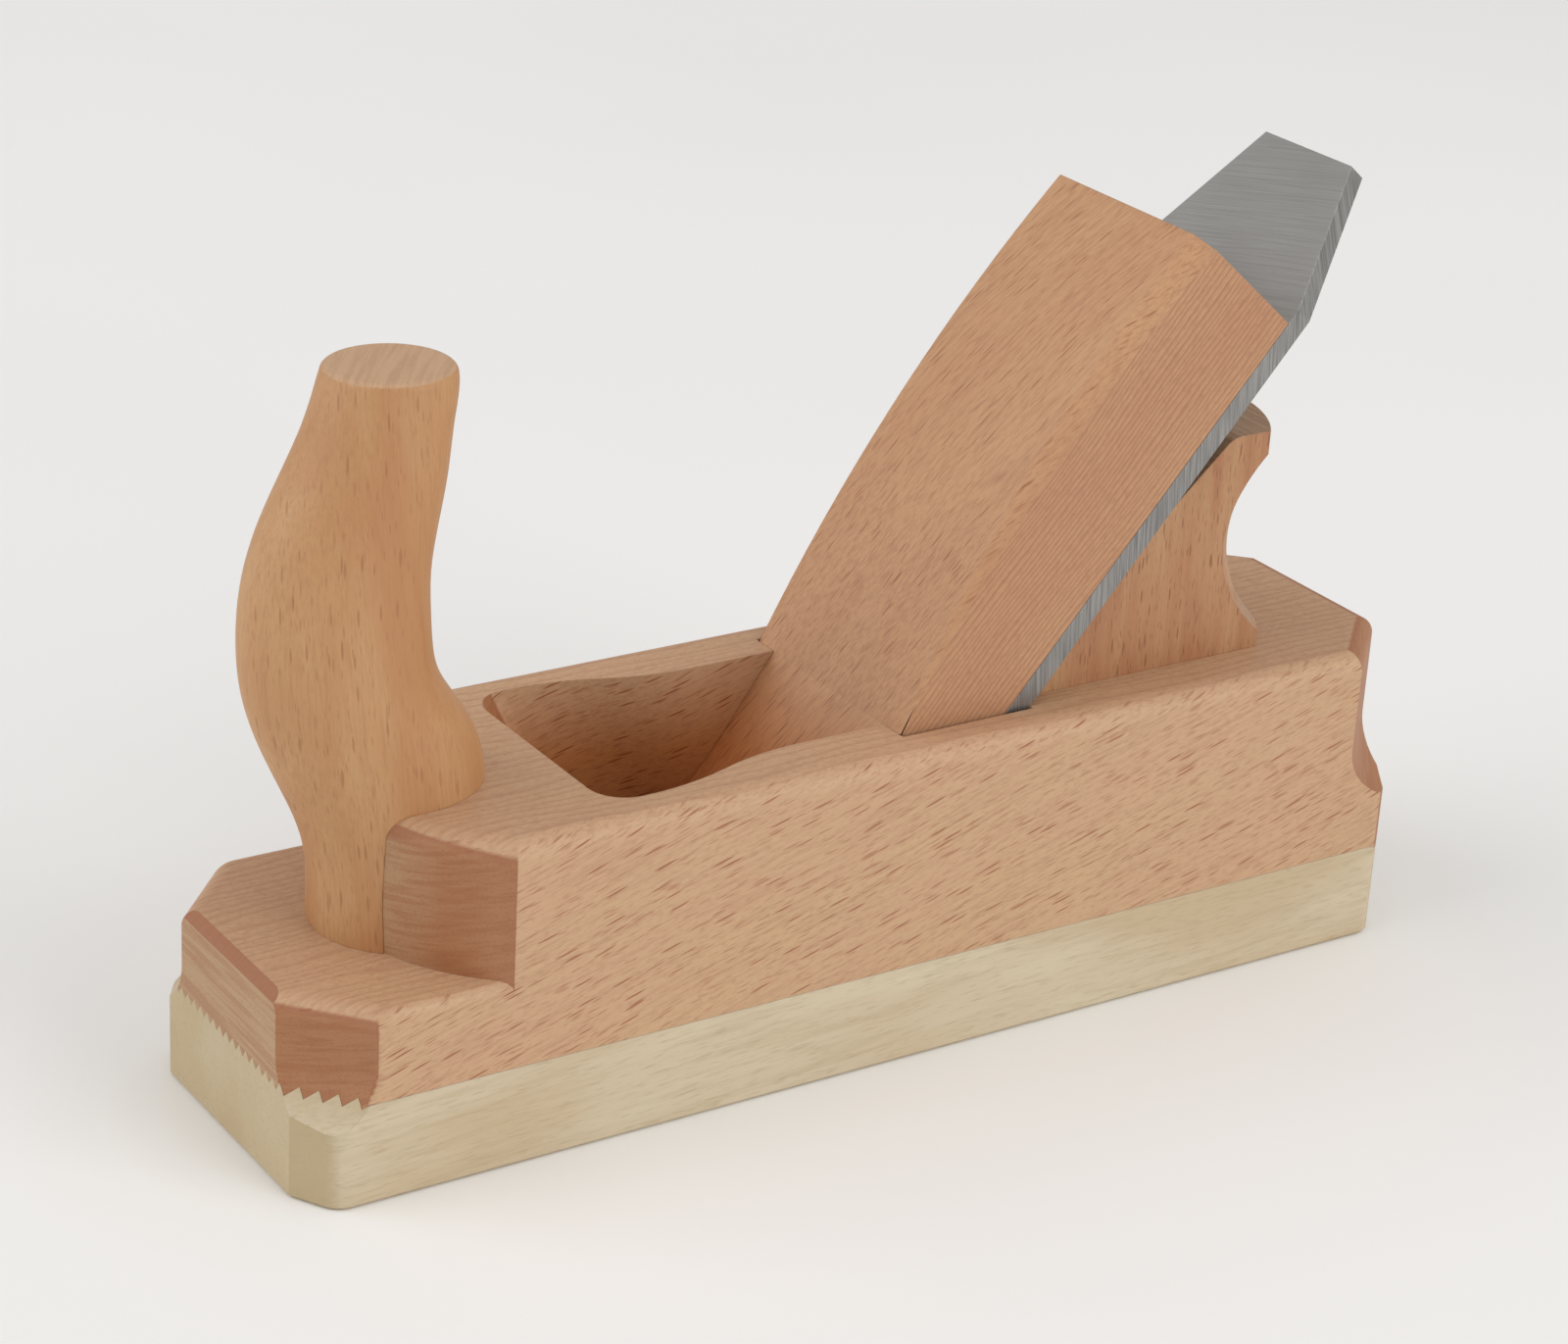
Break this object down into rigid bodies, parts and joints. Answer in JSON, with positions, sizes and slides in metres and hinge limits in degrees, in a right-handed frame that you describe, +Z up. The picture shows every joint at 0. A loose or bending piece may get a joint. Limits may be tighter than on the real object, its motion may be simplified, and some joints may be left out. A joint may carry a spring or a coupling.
{
  "type": "hand plane",
  "caption": "Wooden bench smoothing plane with a front horn, rear hand guard, hardwood sole, thick steel iron and long holding wedge.",
  "frame": {"origin": "centre of the sole's face, on the line between its sides and half way along its length", "axes": "+X towards the toe (the direction of the cut), +Y towards the left-hand side of a person who pushes the plane, +Z up out of the sole"},
  "size_m": [0.24, 0.065, 0.1544],
  "materials": {
    "steamed_beech_body": "planed and sanded, oiled satin",
    "hornbeam_sole": "planed, oiled satin",
    "steamed_beech_horn": "shaped and sanded, oiled satin",
    "steamed_beech_guard": "shaped and sanded, oiled satin",
    "steamed_beech_wedge": "planed and sanded, oiled satin",
    "ground_steel_iron": "fine ground",
    "beech_dowel": "turned, glued in"
  },
  "bodies": {
    "plane_body": {"body": "steamed_beech_body", "sole": "hornbeam_sole", "horn": "steamed_beech_horn", "hand_guard": "steamed_beech_guard", "horn_dowel": "beech_dowel", "guard_dowels": "beech_dowel"},
    "wedge": {"wedge": "steamed_beech_wedge"},
    "iron": {"iron": "ground_steel_iron"}
  },
  "joints": [
    {"name": "wedge_slide", "type": "slide", "parent": "plane_body", "child": "wedge", "axis": [-0.6534, 0, 0.757], "range_m": [0, 0.11]},
    {"name": "iron_slide", "type": "slide", "parent": "plane_body", "child": "iron", "axis": [-0.6534, 0, 0.757], "range_m": [-0.001, 0.1]}
  ]
}
